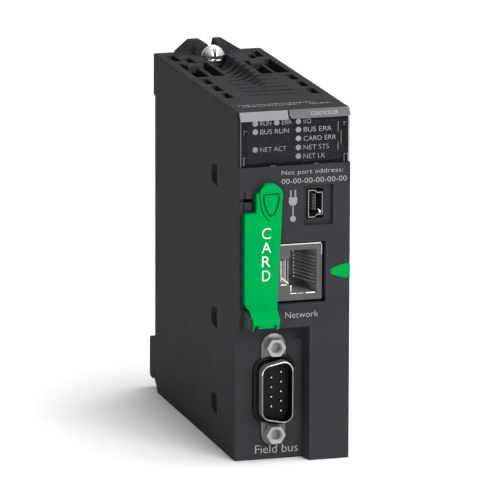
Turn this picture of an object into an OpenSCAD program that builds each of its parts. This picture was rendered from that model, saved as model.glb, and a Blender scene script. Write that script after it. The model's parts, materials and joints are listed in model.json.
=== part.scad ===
// Rack-mounted controller module: a narrow moulded case with a status display,
// a card slot behind a hinged door, service sockets and a captive fixing screw.
// Each module below is one separate piece. Shapes are drawn from the case's
// left side (X), front face (Y) and underside (Z), then moved by seat() so that
// the origin lies under the centre of the whole module's box.

/* [Case] */
// Width of the case
body_w = 32; // [31:0.5:34]
// Height of the case
body_h = 100; // [100:0.5:102]
// Depth from the front face to the rear wall
body_d = 87.2; // [86:0.2:90]
// Thickness of the moulded walls
wall = 1.6; // [1.4:0.1:1.8]
// Depth of the front cap, from the front face to the seam
cap_d = 20; // [19:0.5:20.5]
// How far the rack hooks stand out behind the rear wall
hook_d = 5.8; // [5:0.1:7]

/* [Display] */
// Height of the lower edge of the clear cover
display_z = 84.65; // [84:0.05:85]
// Depth of the seat that the clear cover lies in
seat_d = 2; // [1.8:0.1:2.4]
// Diameter of one light dot
dot_d = 1.54; // [1.2:0.02:1.6]

/* [Card door] */
// Distance from the front face to the front of the closed door
door_front = 2.45; // [2.3:0.05:2.8]
// Thickness of the door panel
door_t = 1.8; // [1.4:0.1:1.8]
// Height of the door hinge axis
hinge_z = 41.4; // [41:0.1:42]
// Distance from the front face to the door hinge axis
hinge_out = 3.4; // [3.2:0.1:3.6]
// Radius of the moulded hinge pins
hinge_pin_r = 0.9; // [0.7:0.05:1]
// Radial clearance of the hinge pins
hinge_clearance = 0.05; // [0.03:0.01:0.08]

/* [Card] */
// Width of the memory card
card_w = 24; // [23.5:0.1:24]
// Length of the memory card
card_l = 32; // [30:0.5:32]
// Thickness of the memory card
card_t = 2.1; // [1.4:0.1:2.1]

/* [Serial socket] */
// Depth of the recess around the serial socket
recess_d = 4.5; // [4:0.1:5]
// Distance between the two jack nuts
jack_pitch = 24.99; // [24.9:0.01:25.1]
// Radius of the threaded hole in a jack nut
jack_hole_r = 1.42; // [1.3:0.02:1.5]
// Width across flats of a jack nut
jack_flats = 4.76; // [4.7:0.02:4.9]

/* [Fixing screw] */
// Radius of the screw thread
screw_r = 2; // [1.8:0.1:2]
// Radius of the plain neck between the head and the thread
neck_r = 1.6; // [1.4:0.05:1.7]
// Radius of the screw head
head_r = 3.4; // [3.2:0.1:3.6]
// Height of the screw axis
screw_z = 99.2; // [99:0.1:99.6]
// Radius of the screwdriver groove in the top
groove_r = 3.9; // [3.7:0.1:4.1]

/* [Hidden] */

$fn = 64;
eps = 0.01;
over = 1;              // how far a cutting shape runs past a face

hinge_reach = 2.3;     // from the hinge axis to the front of the door's foot
front_reach = hinge_out + hinge_reach;
whole_d = front_reach + body_d + hook_d;
front_y = front_reach - whole_d / 2;
hook_y = body_d + hook_d;

lip_y = body_d + 1.5;  // rear face of the lip along the top edge
lip_z = 87.8;
plate_t = 1.8;         // thickness of the front plate
mid_x = body_w / 2;

// Moves a shape from the case's corner to the module's origin
module seat() {
    translate([-body_w / 2, front_y, 0]) children();
}

// Box between two opposite corners
module block(low, high) {
    translate(low) cube(high - low);
}

// Extrudes an outline drawn in X and Z along Y
module along_y(y0, y1) {
    translate([0, y1, 0]) rotate([90, 0, 0]) linear_extrude(y1 - y0) children();
}

// Extrudes a profile drawn in Y and Z along X
module along_x(x0, x1) {
    translate([x0, 0, 0]) rotate([90, 0, 90]) linear_extrude(x1 - x0) children();
}

// Cylinder along Y
module rod_y(x, z, y0, y1, r) {
    translate([x, y0, z]) rotate([-90, 0, 0]) cylinder(r = r, h = y1 - y0);
}

// Cylinder along X
module rod_x(y, z, x0, x1, r) {
    translate([x0, y, z]) rotate([0, 90, 0]) cylinder(r = r, h = x1 - x0);
}

// Rectangle between two corners with round corners
module round_rect(low, high, r) {
    translate([low[0] + r, low[1]]) square([high[0] - low[0] - 2 * r, high[1] - low[1]]);
    translate([low[0], low[1] + r]) square([high[0] - low[0], high[1] - low[1] - 2 * r]);
    for (x = [low[0] + r, high[0] - r], z = [low[1] + r, high[1] - r])
        translate([x, z]) circle(r);
}

// ---------------------------------------------------------------- rear housing

snap_z = [78.1, 37.1, 12.2];   // heights of the snap windows on each side
snap_y = 22.3;                 // front edge of the snap windows
snap_w = 6.2;                  // length of a snap window
slit_y = 22.9;                 // first shallow slit across the top
slit_pitch = 5.2;
slit_w = 1.2;
slit_d = 1.1;                  // depth of the slits
rib_gap = 2.2;                 // gap between the ribs of the screwdriver groove
rib_h = 1.1;                   // height of those ribs
groove_rear = [80.6, 100];     // axis of the groove, rear end in Y and Z
groove_front = [22, 104.4];    // axis of the groove, front end in Y and Z
hump_y = 85.6;                 // front of the wall that holds the screw
hump_top = 103.8;
boss_y = 82.4;                 // front of the boss around the screw head
boss_x = [11, 21];
seat_y = 83.5;                 // face inside the boss that the washer rests on
head_room_y = 75.2;            // front end of the round channel that the head moves in
sleeve_z = 93.5;               // lower end of the walls around the cooling slots

// Window outline: an upright front edge, a round back and a tapering lower edge
module teardrop() {
    translate([3.2, 2.98]) circle(2.77);
    polygon([[0, 0], [1.3, 0], [5.9, 2.2], [5.97, 2.98], [3.2, 5.75], [0, 5.75]]);
}

// The three snap windows in one side wall
module snap_windows(x0, x1) {
    for (z = snap_z)
        along_x(x0, x1) translate([snap_y, z - snap_w / 2]) teardrop();
}

// Outer side profile of the case behind the seam
module housing_profile() {
    polygon([
        [cap_d, 0], [body_d - 2.5, 0], [body_d - 1.5, 1.8], [body_d, 3],
        [body_d, lip_z], [lip_y, lip_z], [lip_y, body_h], [cap_d, body_h]
    ]);
}

// One rack hook, undercut from below
module rack_hook(x0) {
    along_x(x0, x0 + 4.5)
        difference() {
            round_rect([body_d - 2, 3.2], [hook_y, 15.5], 1.3);
            polygon([[body_d + 0.4, 2], [body_d + 2.4, 2], [body_d + 1, 6.2], [body_d + 0.4, 6.2]]);
        }
}

// Wall behind the screw head, with sloping shoulders
module screw_wall() {
    along_y(hump_y, lip_y)
        polygon([[26, body_h - wall], [26, body_h], [19.9, hump_top], [10.2, hump_top],
                 [6.2, body_h + 0.4], [6.2, body_h - wall]]);
    along_y(boss_y, hump_y + eps)
        round_rect([boss_x[0], sleeve_z], [boss_x[1], hump_top - 0.5], 2);
    block([5.2, hump_y - 1.2, body_h - eps], [27, hump_y + eps, body_h + 0.4]);
}

// Opening for the screw: a round hole with a narrow rounded slot above it
module screw_opening() {
    rod_y(mid_x, screw_z, seat_y - over, lip_y + over, screw_r + 0.3);
    along_y(boss_y - over, lip_y + over)
        polygon([[15, screw_z], [17.2, screw_z], [17.2, 102], [17.8, hump_top + over],
                 [13.2, hump_top + over], [13.2, hump_top], [14.4, 103.1], [15, 102.1]]);
    rod_y(mid_x, screw_z, head_room_y, seat_y, head_r + 0.2);
}

// Slanted round bar that shapes the screwdriver groove
module groove_bar(r) {
    run = groove_rear[0] - groove_front[0];
    rise = groove_front[1] - groove_rear[1];
    tilt = atan2(rise, run);
    translate([mid_x, groove_rear[0], groove_rear[1]])
        rotate([90 - tilt, 0, 0])
            cylinder(r = r, h = sqrt(run * run + rise * rise) + 20);
}

// Groove that guides a screwdriver to the screw, with ribs along its lower part
module driver_groove() {
    groove_bar(groove_r);
    intersection() {
        groove_bar(groove_r + rib_h);
        for (k = [4 : 10])
            block([mid_x - 4.4, slit_y + slit_pitch * k - 0.5, sleeve_z],
                  [mid_x + 4.8, slit_y + slit_pitch * k - 0.5 + rib_gap, body_h + 2]);
    }
}

// Openings through the top wall, each given by its low and high corner
top_slots = [
    [[2.6, 75.8], [4.7, 84.6]], [[27.6, 75.8], [29.7, 84.6]],
    [[6, 72.6], [8.2, 80.3]], [[25.2, 74.2], [27, 80.3]],
    [[2.6, 66.6], [3.8, 72.2]], [[21.8, 66.6], [23, 72.2]],
    [[2.4, 52], [6.3, 66.6]], [[21.7, 52], [25.2, 66.6]],
    [[7.7, 52.3], [10.9, 72.3]], [[26.2, 52.3], [30, 72.3]]
];

module top_openings() {
    for (s = top_slots)
        block([s[0][0], s[0][1], body_h - 8], [s[1][0], s[1][1], body_h + over]);
    for (x = [2.6, 27.6], k = [0 : 2])
        block([x, 21.6 + 10.1 * k, body_h - 8], [x + 2.1, 29.6 + 10.1 * k, body_h + over]);
    for (k = [0 : 5])
        block([9.3, slit_y + slit_pitch * k, body_h - slit_d],
              [23.8, slit_y + slit_pitch * k + slit_w, body_h + over]);
}

// Walls that hang from the top around each large cooling slot
module slot_sleeves() {
    for (s = top_slots)
        block([s[0][0] - 0.9, s[0][1] - 0.9, sleeve_z],
              [s[1][0] + 0.9, s[1][1] + 0.9, body_h - wall + eps]);
}

module bottom_openings() {
    for (x = [5, 14.9, 24.9], k = [0 : 4])
        block([x, 28 + 10.1 * k, -over], [x + 2.1, 36 + 10.1 * k, wall + over]);
}

// Small bars that bridge the cooling slots
module slot_bridges() {
    for (x = [[3.4, 8.2], [22, 26.4]])
        along_x(x[0], x[1])
            polygon([[64.6, body_h - wall], [64.6, body_h + 0.5], [65.1, body_h + 0.9],
                     [67.2, body_h + 0.9], [67.2, body_h - wall]]);
}

// Rails inside the case that the two upright boards slide into
module board_guides() {
    for (x = [io_x - 1.1, io_x + board_t + 0.15], z = [wall - eps, 82.3])
        block([x, 40, z], [x + 0.95, 76, z == 82.3 ? body_h - wall : 3.6]);
    for (x = [cpu_x - 1.1, cpu_x + board_t + 0.15])
        block([x, 40, wall - eps], [x + 0.95, 76, 4.6]);
}

module rear_housing() {
    color("#3b3b3e") seat() difference() {
        union() {
            difference() {
                along_x(0, body_w) housing_profile();
                block([wall, cap_d - over, wall], [body_w - wall, body_d - wall, body_h - wall]);
            }
            block([9.6, 40, sleeve_z - 0.8], [22.4, body_d - wall + eps, body_h - wall + eps]);
            slot_sleeves();
            screw_wall();
            slot_bridges();
            rack_hook(0);
            rack_hook(body_w - 4.5);
            board_guides();
        }
        driver_groove();
        screw_opening();
        top_openings_clear_of_bridges();
        bottom_openings();
        snap_windows(-over, wall + eps);
        snap_windows(body_w - wall - eps, body_w + over);
        block([plug_x0 - 0.25, body_d - wall - over, plug_z0 - 0.25],
              [plug_x1 + 0.25, body_d + over, plug_z1 + 0.25]);
    }
}

// The cooling slots, without the places where the bridges cross them
module top_openings_clear_of_bridges() {
    difference() {
        top_openings();
        slot_bridges();
    }
}

// ---------------------------------------------------------------- front bezel

recess_w = 20.4;       // width of the recess around the serial socket
recess_h = 38.5;
bay_low = [1.6, 44.5]; // card bay behind the door, X and Z
bay_high = [9.6, 72];
bay_d = 5;
floor_t = 1.2;
jack_hole = [[10.5, 45.3], [24.9, 62.7]];   // hole for the network socket
usb_pocket = [[18.6, 67.4], [27, 78.6]];    // shallow pocket around the USB socket
usb_pocket_d = 1.5;
ear_x = [[0.9, 2.1], [10.35, 11.3]];        // hinge ears, in X

// Side view of one hinge ear
module ear_profile() {
    difference() {
        union() {
            translate([-hinge_out, hinge_z]) circle(1.9);
            polygon([[0.5, 45.2], [-0.4, 44.8], [-hinge_out - 1.25, hinge_z + 1.43],
                     [-hinge_out - 0.4, hinge_z - 1.85], [0.5, hinge_z - 2.2]]);
        }
        translate([-hinge_out, hinge_z]) circle(hinge_pin_r + hinge_clearance);
    }
}

// Two small blocks beside the door's narrow end
module latch_blocks() {
    along_x(1.5, 3.3)
        polygon([[0.5, 78.6], [0, 78.6], [-0.9, 77.5], [-0.9, 76], [0.5, 76]]);
    along_x(1.2, 3.3)
        polygon([[0.5, 75], [-0.7, 75], [-0.7, 72.7], [0.5, 72.7]]);
}

// Tongues that reach into the rear housing and catch in its windows
module snap_tongues() {
    for (z = snap_z) {
        block([wall, cap_d - 3, z - 3.5], [wall + 0.9, snap_y + 6.6, z + 3.5]);
        block([body_w - wall - 0.9, cap_d - 3, z - 3.5], [body_w - wall, snap_y + 6.6, z + 3.5]);
        translate([0, 0, z - 1.6]) linear_extrude(3.6) {
            polygon([[wall + eps, snap_y + 0.3], [wall + eps, snap_y + 4.6], [wall, snap_y + 4.6],
                     [0.4, snap_y + 1.6], [0.4, snap_y + 0.3]]);
            polygon([[body_w - wall - eps, snap_y + 0.3], [body_w - 0.4, snap_y + 0.3],
                     [body_w - 0.4, snap_y + 1.6], [body_w - wall, snap_y + 4.6],
                     [body_w - wall - eps, snap_y + 4.6]]);
        }
    }
}

// Corner space that the serial socket stands in, with a drafted right wall
module serial_recess() {
    difference() {
        translate([0, 0, -over]) linear_extrude(recess_h + over)
            polygon([[-over, -over], [recess_w, -over], [recess_w, 0],
                     [recess_w - 0.9, recess_d], [-over, recess_d]]);
        along_x(-over, recess_w)
            difference() {
                translate([0, recess_h - recess_d]) square(recess_d + 0.01);
                translate([0, recess_h - recess_d]) circle(recess_d);
            }
    }
}

module front_bezel() {
    color("#3f3f42") seat() difference() {
        union() {
            difference() {
                block([0, 0, 0], [body_w, cap_d, body_h]);
                block([wall, plate_t, wall], [body_w - wall, cap_d + over, body_h - wall]);
            }
            block([wall - eps, plate_t - eps, display_z - 2],
                  [body_w - wall + eps, seat_d + 1.4, body_h - wall + eps]);
            block([bay_low[0] - eps, plate_t - eps, bay_low[1] - 1],
                  [bay_high[0] + 0.8, bay_d + floor_t, bay_high[1] + 1]);
            block([0, 0, 0], [recess_w + wall, recess_d + wall, recess_h + wall]);
            block([usb_pocket[0][0] - 1, plate_t - eps, usb_pocket[0][1] - 1],
                  [usb_pocket[1][0] + 1, usb_pocket_d + 1.4, usb_pocket[1][1] + 1]);
            for (e = ear_x)
                along_x(e[0], e[1]) ear_profile();
            latch_blocks();
            snap_tongues();
        }
        block([-over, -over, display_z], [body_w + over, seat_d, body_h + over]);
        along_y(0, seat_d + 2) round_rect([3, 85.7], [28.2, panel_top + 0.2], 0.8);
        block([bay_low[0], -over, bay_low[1]], [bay_high[0], bay_d, bay_high[1]]);
        block([card_x - 0.25, bay_d - over, card_z0 - 0.3],
              [card_x + card_t + 0.25, bay_d + floor_t + over, card_z0 + card_w + 0.3]);
        block([-over, -0.6, 75.1], [3.3, 0.7, 75.9]);
        serial_recess();
        along_y(-over, seat_d + 2) round_rect(jack_hole[0], jack_hole[1], 0.3);
        block([usb_pocket[0][0], -over, usb_pocket[0][1]],
              [usb_pocket[1][0], usb_pocket_d, usb_pocket[1][1]]);
        along_y(0, 4) round_rect([19.7, 68.9], [24.7, 77.5], 0.6);
        along_y(recess_d - over, recess_d + 0.5) flange_outline(0.1);
        along_y(recess_d - over, recess_d + wall + over) serial_outline(1.2);
        for (z = jack_z)
            rod_y(serial_x, z, recess_d - over, recess_d + wall + over, 1.6);
        along_y(-over, marker_depth) marker_outline();
    }
}

// ---------------------------------------------------------------- display

window_x = [0.2, 31.7];
bevel_z = 97.6;        // where the cover's upper bevel starts
bevel_d = 1.25;
tab_x = [14.4, 31.9];
tab_z = 97.75;
tab_gap = 0.3;
panel_top = 97.45;     // upper edge of the black panel
dots = [               // light dots, X and Z
    [4.86, 96.65], [11.03, 96.65], [17.29, 96.65], [4.86, 94.32], [17.29, 94.32],
    [17.29, 91.85], [4.86, 89.3], [17.29, 89.3], [17.29, 86.83]
];
dot_r = dot_d / 2;
led_y = 7.3;
lamp_board_y = 8;

// Clear cover with a bevelled top edge and lips along its sides
module display_window() {
    color([0.35, 0.36, 0.38, 0.5]) seat() difference() {
        along_x(window_x[0], window_x[1])
            polygon([[0, display_z], [0, bevel_z], [bevel_d, body_h], [seat_d, body_h],
                     [seat_d, display_z]]);
        block([window_x[0] + 0.8, 1, display_z + 0.6],
              [window_x[1] - 0.8, seat_d + over, panel_top + 0.05]);
        block([tab_x[0] - tab_gap, -over, tab_z - tab_gap],
              [body_w + over, seat_d + over, body_h + over]);
        for (x = [9.2, 20.6])
            block([x, -over, display_z - over], [x + 0.7, 0.4, display_z + 0.7]);
    }
}

// Black panel behind the cover, with a hole for each light
module display_mask() {
    color("#141416") seat() difference() {
        block([2.3, 1.3, display_z + 0.65], [28.9, seat_d, panel_top]);
        for (d = dots)
            rod_y(d[0], d[1], 1, seat_d + over, dot_r + 0.02);
    }
}

// Raised name tab over the right half of the top edge
module label_tab() {
    color("#8b8b8e") seat() intersection() {
        along_x(tab_x[0], tab_x[1])
            polygon([[-0.3, tab_z], [0.95, body_h], [seat_d, body_h], [seat_d, tab_z]]);
        along_y(-over, seat_d)
            union() {
                translate([tab_x[0] + 1, tab_z + 1]) circle(1);
                translate([tab_x[0], tab_z + 1]) square([tab_x[1] - tab_x[0], 2]);
                translate([tab_x[0] + 1, tab_z]) square([tab_x[1] - tab_x[0] - 1, 2]);
            }
    }
}

// Clear rods that carry the light from the board to the mask
module light_pipes() {
    color("#f4f4f2") seat()
        for (d = dots)
            rod_y(d[0], d[1], 1.35, led_y - 0.1, dot_r);
}

module status_leds() {
    color("#e8f2d0") seat()
        for (d = dots)
            block([d[0] - 0.8, led_y, d[1] - 0.6], [d[0] + 0.8, lamp_board_y, d[1] + 0.6]);
}

module display_board() {
    color("#1d6b3a") seat()
        block([2.6, lamp_board_y, display_z + 0.3], [cpu_x - 0.6, lamp_board_y + 1, 97.9]);
}

// ---------------------------------------------------------------- card door

door_tip = [8.3, 76.8];    // centre of the round tip, X and Z
door_tip_r = 3.45;
door_left = 0.6;
door_step_z = 72.3;        // top of the wide part
door_neck = [4, 77.3];     // left corner of the narrow part
door_foot_z = 44.6;        // where the front surface starts to flare outward
knuckle_x = [[2.2, 2.95], [9.2, 10.2]];   // hinge knuckles, in X
flap_x = [4, 8.45];        // middle of the foot, between two notches
flap_z = 40.1;             // its lower edge
notch_z = 41.1;            // upper end of the notches

// Front outline of the door, from the round tip to the notched foot
module door_outline() {
    low = hinge_z - hinge_reach - over;
    difference() {
        union() {
            translate(door_tip) circle(door_tip_r);
            polygon([
                [door_neck[0], door_step_z], [door_left, door_step_z], [door_left, 46.9],
                [1.5, 45], [knuckle_x[0][0], 45], [knuckle_x[0][0], low], [knuckle_x[1][1], low],
                [knuckle_x[1][1], 42.5], [10.35, 46.4], [11.05, 62],
                [door_tip[0] + door_tip_r - 0.1, door_tip[1]], [door_tip[0] - 2.85, door_tip[1] + 1.6],
                door_neck
            ]);
        }
        translate([knuckle_x[0][1], low]) square([knuckle_x[1][0] - knuckle_x[0][1], flap_z - low]);
        translate([knuckle_x[0][1], low]) square([flap_x[0] - knuckle_x[0][1], notch_z - low]);
        translate([flap_x[1], low]) square([knuckle_x[1][0] - flap_x[1], notch_z - low]);
    }
}

// Side view of the door: a flat panel whose foot flares forward and curls under the hinge
module door_profile() {
    curl = [for (k = [0 : 12]) [-hinge_out + hinge_reach * cos(180 + 15 * k),
                                hinge_z + hinge_reach * sin(180 + 15 * k)]];
    polygon(concat(
        [[-door_front, 82], [-door_front, door_foot_z], [-front_reach + 0.45, hinge_z + 1.25],
         [-front_reach + 0.08, hinge_z + 0.7]],
        curl,
        [[door_t - door_front, door_foot_z - 1], [door_t - door_front, 82]]
    ));
}

module card_door() {
    color("#00a650") seat() union() {
        difference() {
            intersection() {
                along_y(-12, 3) door_outline();
                along_x(0, 14) door_profile();
            }
            along_x(knuckle_x[0][1], knuckle_x[1][0])
                polygon([[-front_reach + 1.35, 38], [-0.3, 38], [-0.3, door_foot_z - 0.15],
                         [-front_reach + 1.35, hinge_z + 0.2]]);
        }
        block([door_left, -door_front + 0.6, 47.6], [door_left + 0.8, -0.15, door_step_z - 0.2]);
        rod_x(-hinge_out, hinge_z, ear_x[0][0] + 0.05, knuckle_x[0][0] + 0.4, hinge_pin_r);
        rod_x(-hinge_out, hinge_z, knuckle_x[1][1] - 0.4, ear_x[1][1] - 0.1, hinge_pin_r);
    }
}

// ---------------------------------------------------------------- memory card

card_x = 5.15;         // left face of the card
card_y = 1.4;          // front end of the card when it is latched
card_z0 = 46.6;
socket_y = bay_d + floor_t + 0.2;

module memory_card() {
    color("#23262b") seat() difference() {
        block([card_x, card_y, card_z0], [card_x + card_t, card_y + card_l, card_z0 + card_w]);
        translate([card_x - over, card_y + card_l, card_z0 + card_w]) rotate([45, 0, 0])
            translate([0, -2.9, -2.9]) cube([card_t + 2 * over, 5.8, 5.8]);
        for (k = [0 : 8])
            block([card_x - eps, card_y + card_l - 5, card_z0 + 1.6 + 2.4 * k],
                  [card_x + 0.35, card_y + card_l + over, card_z0 + 3 + 2.4 * k]);
        block([card_x + card_t - 0.4, card_y + 0.8, card_z0 + 2],
              [card_x + card_t + over, card_y + 1.5, card_z0 + card_w - 2]);
    }
}

// Metal-covered frame that the card slides into
module card_socket() {
    color("#b9bcc0") seat() difference() {
        block([io_x + board_t, socket_y, card_z0 - 1.6],
              [card_x + card_t + 0.6, socket_y + 30, card_z0 + card_w + 1.6]);
        block([card_x - 0.2, socket_y - over, card_z0 - 0.25],
              [card_x + card_t + 0.2, socket_y + 28.6, card_z0 + card_w + 0.25]);
        block([io_x + board_t + 0.1, socket_y + 19, card_z0 + 0.8],
              [card_x, socket_y + 28.4, card_z0 + card_w - 0.8]);
        block([card_x + card_t, socket_y + 8, card_z0 + 4],
              [card_x + card_t + over, socket_y + 16, card_z0 + card_w - 4]);
    }
}

// Spring contacts under the card
module card_contacts() {
    color("#d8b25a") seat()
        for (k = [0 : 7])
            translate([0, 0, card_z0 + 2.2 + 2.4 * k]) linear_extrude(0.8)
                polygon([
                    [io_x + board_t + 0.1, socket_y + 28.3], [io_x + board_t + 0.1, socket_y + 20],
                    [io_x + board_t + 0.3, socket_y + 20], [io_x + board_t + 0.3, socket_y + 28.3]
                ]);
}

// ---------------------------------------------------------------- USB socket

usb_mid_z = 73.25;

// Keyed outline of the socket, drawn in by a margin
module usb_outline(inset) {
    g = inset;
    polygon([
        [20 + g, usb_mid_z - 3.95 + g], [21.9 - g / 3, usb_mid_z - 3.95 + g],
        [22.7 - g / 3, usb_mid_z - 3.25 + g], [24.3 - g, usb_mid_z - 3.25 + g],
        [24.3 - g, usb_mid_z + 3.25 - g], [22.7 - g / 3, usb_mid_z + 3.25 - g],
        [21.9 - g / 3, usb_mid_z + 3.95 - g], [20 + g, usb_mid_z + 3.95 - g]
    ]);
}

module usb_shell() {
    color("#c9cbcd") seat() difference() {
        along_y(0.8, 10.2) usb_outline(0);
        along_y(-over, 9.9) usb_outline(0.3);
    }
}

module usb_tongue() {
    color("#1b1b1d") seat() union() {
        block([22, 3, usb_mid_z - 2.3], [22.9, 9.9, usb_mid_z + 2.3]);
        along_y(8.6, 9.9) usb_outline(0.35);
    }
}

module usb_contacts() {
    color("#d8b25a") seat()
        for (k = [-2 : 2])
            block([21.75, 3.4, usb_mid_z + 0.8 * k - 0.2], [22, 8.6, usb_mid_z + 0.8 * k + 0.2]);
}

// ---------------------------------------------------------------- network socket

jack_low = [10.9, 45.95];
jack_high = [24.2, 62.15];
jack_mid_z = (jack_low[1] + jack_high[1]) / 2;
jack_y = [1.2, 22.2];
sheet = 0.3;

// Mouth of the socket: a plug cavity with a notch for the latch
module jack_mouth(grow) {
    g = grow;
    polygon([
        [22.65 + g, jack_mid_z - 6.3 - g], [22.65 + g, jack_mid_z + 6.2 + g],
        [15.1 - g, jack_mid_z + 6.2 + g], [15.1 - g, jack_mid_z + 3.7 + g],
        [12.2 - g, jack_mid_z + 3.7 + g], [12.2 - g, jack_mid_z - 3.7 - g],
        [15.1 - g, jack_mid_z - 3.7 - g], [15.1 - g, jack_mid_z - 6.3 - g]
    ]);
}

module ethernet_shield() {
    color("#b4b5b6") seat() difference() {
        along_y(jack_y[0], jack_y[1]) round_rect(jack_low, jack_high, 0.5);
        block([jack_low[0] + sheet, jack_y[0] + sheet, jack_low[1] + sheet],
              [jack_high[0] - sheet, jack_y[1] - sheet, jack_high[1] - sheet]);
        along_y(-over, jack_y[0] + over) jack_mouth(0);
    }
}

module ethernet_insert() {
    color("#2a2a2c") seat() difference() {
        block([jack_low[0] + sheet, jack_y[0] + sheet, jack_low[1] + sheet],
              [jack_high[0] - sheet, jack_y[1] - sheet, jack_high[1] - sheet]);
        along_y(-over, 15) jack_mouth(0.1);
        block([18.4, 2.4, jack_mid_z - 4.4], [23.2, 15.6, jack_mid_z + 4.4]);
    }
}

// Eight spring wires that slant across the right side of the cavity
module ethernet_contacts() {
    color("#d8b25a") seat()
        for (k = [0 : 7])
            translate([0, 0, jack_mid_z + 1.016 * (k - 3.5) - 0.2]) linear_extrude(0.4)
                polygon([
                    [22.9, 2.6], [22.9, 3.1], [22.4, 3.3], [19.2, 11.5], [18.7, 11.3], [22.1, 2.7]
                ]);
}

module ethernet_transformer() {
    color("#202022") seat()
        block([18.2, jack_y[1] + 2.4, jack_mid_z - 6.5], [cpu_x, jack_y[1] + 15, jack_mid_z + 6.5]);
}

marker_tip = [26.3, 53.9];
marker_depth = 0.8;

// Bullet outline pointing at the network socket
module marker_outline() {
    intersection() {
        union() {
            translate([marker_tip[0] + 1.1, marker_tip[1]]) circle(1.1);
            polygon([
                [marker_tip[0] + 0.75, marker_tip[1] - 1.04], [30, marker_tip[1] - 1.95],
                [body_w, marker_tip[1] - 2.05], [body_w, marker_tip[1] + 2.05],
                [30, marker_tip[1] + 1.95], [marker_tip[0] + 0.75, marker_tip[1] + 1.04]
            ]);
        }
        translate([marker_tip[0], marker_tip[1] - 3]) square([body_w - marker_tip[0], 6]);
    }
}

module ethernet_marker() {
    color("#00a650") seat() along_y(-0.25, marker_depth) marker_outline();
}

// ---------------------------------------------------------------- serial socket

serial_x = 11.2;
serial_z = 20.08;
jack_z = [serial_z - jack_pitch / 2, serial_z + jack_pitch / 2];
flange_y = 4.2;
shell_front = -0.1;
pin_tip_y = 1.2;
pin_pitch = 2.77;
pin_step = 2.84;

// The D outline: its long side faces right, corners are round
module serial_outline(grow) {
    w = 8.4 / 2 + grow;
    h = 16.8 / 2 + grow;
    slant = 0.75;
    r = 2.4 + grow * 0.8;
    hull()
        for (s = [-1, 1]) {
            translate([serial_x + w - r, serial_z + s * (h - r)]) circle(r, $fn = 32);
            translate([serial_x - w + r, serial_z + s * (h - slant - r)]) circle(r, $fn = 32);
        }
}

// Plate outline behind the shell, round at both nuts
module flange_outline(grow) {
    r = 3.6 + grow;
    for (z = jack_z)
        translate([serial_x, z]) circle(r);
    translate([serial_x - r, jack_z[0]]) square([2 * r, jack_pitch]);
    serial_outline(1.75 + grow);
}

module serial_shell() {
    color("#c4c6c8") seat() difference() {
        union() {
            along_y(flange_y, recess_d + 0.5) flange_outline(0);
            along_y(flange_y - 0.6, flange_y + eps) serial_outline(1.1);
            along_y(shell_front, flange_y + eps) serial_outline(0.5);
        }
        along_y(shell_front - over, recess_d + over) serial_outline(0);
        for (z = jack_z)
            rod_y(serial_x, z, flange_y - over, recess_d + over, 1.5);
    }
}

// Pin positions, X and Z: five on the right, four on the left
function pin_places() = concat(
    [for (k = [-2 : 2]) [serial_x + pin_step / 2, serial_z + k * pin_pitch]],
    [for (k = [-1.5 : 1 : 1.5]) [serial_x - pin_step / 2, serial_z + k * pin_pitch]]
);

module serial_insulator() {
    color("#1d1d1f") seat() difference() {
        union() {
            along_y(4, 6.3) serial_outline(-0.05);
            block([io_x + board_t + 0.1, 6.3, 5], [16.6, 15, 35.2]);
        }
        for (p = pin_places())
            rod_y(p[0], p[1], 3, 16, 0.52);
        for (z = jack_z)
            rod_y(serial_x, z, 6, 10.4, 1.55);
    }
}

// Round pins that bend down to the board behind the insulator
module serial_pins() {
    color("#d9c48a") seat()
        for (p = pin_places()) {
            rod_y(p[0], p[1], pin_tip_y + 0.5, 18, 0.5);
            translate([p[0], pin_tip_y + 0.5, p[1]]) sphere(0.5, $fn = 24);
            block([io_x - 0.4, 17.4, p[1] - 0.25], [p[0], 17.9, p[1] + 0.25]);
        }
}

// Two hexagonal nuts with a threaded hole in front and a stud behind
module jack_nuts() {
    color("#d0d2d4") seat()
        for (z = jack_z) difference() {
            union() {
                translate([serial_x, 1.2, z]) rotate([-90, 0, 0])
                    cylinder(d = jack_flats / cos(30), h = flange_y - 1.2, $fn = 6);
                rod_y(serial_x, z, flange_y, 10, 1.4);
            }
            rod_y(serial_x, z, 0, 3.8, jack_hole_r);
        }
}

// ---------------------------------------------------------------- boards

board_t = 1.6;
io_x = 3;              // left face of the input board
cpu_x = 24.5;          // left face of the processor board
board_rear = 77.6;
rear_board_y = 78;
spacer_at = [[70, 8], [70, 78]];           // board spacers, Y and Z
plug_x0 = 11.6;        // backplane connector, in X and Z
plug_x1 = 20.4;
plug_z0 = 26;
plug_z1 = 70;

module cpu_board() {
    color("#1d6b3a") seat() difference() {
        block([cpu_x, 3.7, 4], [cpu_x + board_t, board_rear, 93]);
        for (s = spacer_at)
            rod_x(s[0], s[1], cpu_x - over, cpu_x + board_t + over, 1.1);
    }
}

module io_board() {
    color("#1d6b3a") seat() difference() {
        block([io_x, 6.8, 3], [io_x + board_t, board_rear, 82]);
        for (s = spacer_at)
            rod_x(s[0], s[1], io_x - over, io_x + board_t + over, 1.1);
        for (p = pin_places())
            block([io_x - over, 17.2, p[1] - 0.45], [io_x + board_t + over, 18.1, p[1] + 0.45]);
    }
}

module rear_board() {
    color("#1d6b3a") seat()
        block([wall + 0.4, rear_board_y, 20], [body_w - wall - 0.4, rear_board_y + board_t, 76]);
}

// Round spacers with reduced ends that sit in the boards
module board_spacers() {
    color("#c9a86a") seat()
        for (s = spacer_at) {
            rod_x(s[0], s[1], io_x + board_t, cpu_x, 2.2);
            rod_x(s[0], s[1], io_x + 0.1, cpu_x + board_t - 0.1, 1.05);
        }
}

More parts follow.
